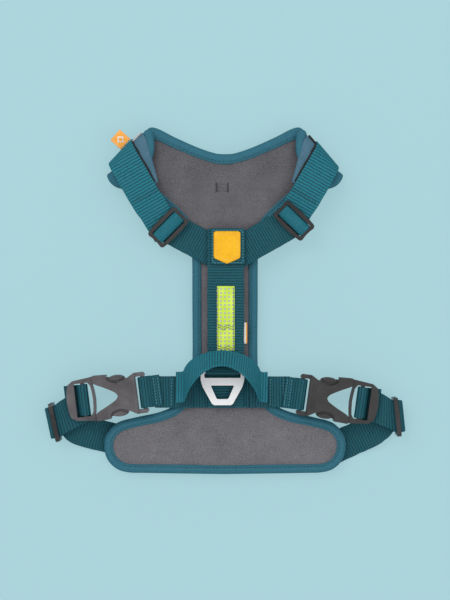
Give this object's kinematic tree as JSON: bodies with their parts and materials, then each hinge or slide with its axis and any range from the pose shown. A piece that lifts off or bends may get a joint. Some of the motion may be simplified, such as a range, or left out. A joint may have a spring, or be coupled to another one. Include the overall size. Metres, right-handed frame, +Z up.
{
  "type": "no pull harness",
  "caption": "Padded webbing harness laid flat, with side release buckles, sliding adjusters, a lifting handle, a leash ring on the back and a ring on the chest.",
  "frame": {"origin": "centre of the bounding box's base, on the surface the harness lies on", "axes": "+X to the wearer's right as laid, +Y to the neck, +Z up from the panel towards the back webbing"},
  "size_m": [0.2892, 0.278, 0.0531],
  "materials": {
    "webbing": "ribbed woven webbing",
    "binding": "woven edge binding",
    "shell": "matte woven cloth",
    "lining": "fine padded mesh",
    "foam": "soft foam",
    "plastic": "moulded, slightly satin",
    "ring": "satin with bevelled edges",
    "neon": "reflective printed tape",
    "patch": "soft embossed rubber",
    "tag": "woven tag",
    "label": "satin label",
    "trim": "smooth tape"
  },
  "bodies": {
    "harness": {"back_girth_strap": "webbing", "belly_webbing": "webbing", "front_ring_tab": "webbing", "handle_left_foot": "webbing", "handle_right_foot": "webbing", "junction_webbing": "webbing", "leash_ring_tab": "webbing", "left_buckle_socket": "plastic", "left_girth_strap": "webbing", "left_lower_shoulder_strap": "webbing", "left_shoulder_strap": "webbing", "left_socket_webbing": "webbing", "left_strap_backing": "trim", "left_wing_binding": "binding", "left_wing_pad": "shell", "orange_tag": "tag", "pad_binding": "binding", "pad_foam_core": "foam", "pad_lining": "lining", "pad_shell": "shell", "reflective_tape": "neon", "right_buckle_socket": "plastic", "right_girth_strap": "webbing", "right_lower_shoulder_strap": "webbing", "right_shoulder_strap": "webbing", "right_socket_webbing": "webbing", "right_strap_backing": "trim", "right_wing_binding": "binding", "right_wing_pad": "shell", "rubber_patch": "patch", "side_label": "label", "spine_webbing": "webbing"},
    "left_plug": {"left_buckle_plug": "plastic", "left_plug_webbing": "webbing", "left_girth_strap_end": "webbing"},
    "right_plug": {"right_buckle_plug": "plastic", "right_plug_webbing": "webbing", "right_girth_strap_end": "webbing"},
    "left_upper_prong_arm": {"left_upper_prong": "plastic"},
    "left_lower_prong_arm": {"left_lower_prong": "plastic"},
    "right_upper_prong_arm": {"right_upper_prong": "plastic"},
    "right_lower_prong_arm": {"right_lower_prong": "plastic"},
    "left_side_adjuster_body": {"left_side_adjuster": "plastic"},
    "right_side_adjuster_body": {"right_side_adjuster": "plastic"},
    "left_shoulder_adjuster_body": {"left_shoulder_adjuster": "plastic", "left_adjuster_webbing": "webbing"},
    "right_shoulder_adjuster_body": {"right_shoulder_adjuster": "plastic", "right_adjuster_webbing": "webbing"},
    "leash_ring_body": {"leash_ring": "ring"},
    "handle_body": {"handle_loop": "webbing"},
    "front_ring_body": {"front_ring": "ring"}
  },
  "joints": [
    {"name": "left_plug_slide", "type": "slide", "parent": "harness", "child": "left_plug", "axis": [-0.9921, -0.1253, 0], "range_m": [0, 0.028]},
    {"name": "right_plug_slide", "type": "slide", "parent": "harness", "child": "right_plug", "axis": [0.9907, -0.1357, 0], "range_m": [0, 0.028]},
    {"name": "left_upper_prong_press", "type": "hinge", "parent": "left_plug", "child": "left_upper_prong_arm", "pos_m": [-0.1048, -0.06427, 0.0151], "axis": [0, 0, -1], "range_deg": [0, 4.5], "stiffness_Nm_per_rad": 0.1},
    {"name": "left_lower_prong_press", "type": "hinge", "parent": "left_plug", "child": "left_lower_prong_arm", "pos_m": [-0.10144, -0.09086, 0.0151], "axis": [0, 0, 1], "range_deg": [0, 4.5], "stiffness_Nm_per_rad": 0.1},
    {"name": "right_upper_prong_press", "type": "hinge", "parent": "right_plug", "child": "right_upper_prong_arm", "pos_m": [0.10099, -0.06636, 0.0151], "axis": [0, 0, 1], "range_deg": [0, 4.5], "stiffness_Nm_per_rad": 0.1},
    {"name": "right_lower_prong_press", "type": "hinge", "parent": "right_plug", "child": "right_lower_prong_arm", "pos_m": [0.09735, -0.09291, 0.0151], "axis": [0, 0, -1], "range_deg": [0, 4.5], "stiffness_Nm_per_rad": 0.1},
    {"name": "left_side_adjuster_slide", "type": "slide", "parent": "left_plug", "child": "left_side_adjuster_body", "axis": [0.9781, 0.2079, 0], "range_m": [0, 0.007]},
    {"name": "right_side_adjuster_slide", "type": "slide", "parent": "right_plug", "child": "right_side_adjuster_body", "axis": [-0.9945, -0.1045, 0], "range_m": [0, 0.007]},
    {"name": "left_shoulder_adjuster_slide", "type": "slide", "parent": "harness", "child": "left_shoulder_adjuster_body", "axis": [-0.492, 0.8521, 0.1786], "range_m": [0, 0.02]},
    {"name": "right_shoulder_adjuster_slide", "type": "slide", "parent": "harness", "child": "right_shoulder_adjuster_body", "axis": [0.486, 0.8417, 0.2353], "range_m": [0, 0.012]},
    {"name": "leash_ring_swing", "type": "hinge", "parent": "harness", "child": "leash_ring_body", "pos_m": [-0.002, -0.056, 0.0189], "axis": [-1, 0, 0], "range_deg": [0, 70]},
    {"name": "handle_lift", "type": "hinge", "parent": "harness", "child": "handle_body", "pos_m": [0, -0.0726, 0.0145], "axis": [1, 0, 0], "range_deg": [0, 50]},
    {"name": "front_ring_swing", "type": "hinge", "parent": "harness", "child": "front_ring_body", "pos_m": [-0.002, 0.082, 0.0028], "axis": [1, 0, 0], "range_deg": [0, 120]}
  ]
}
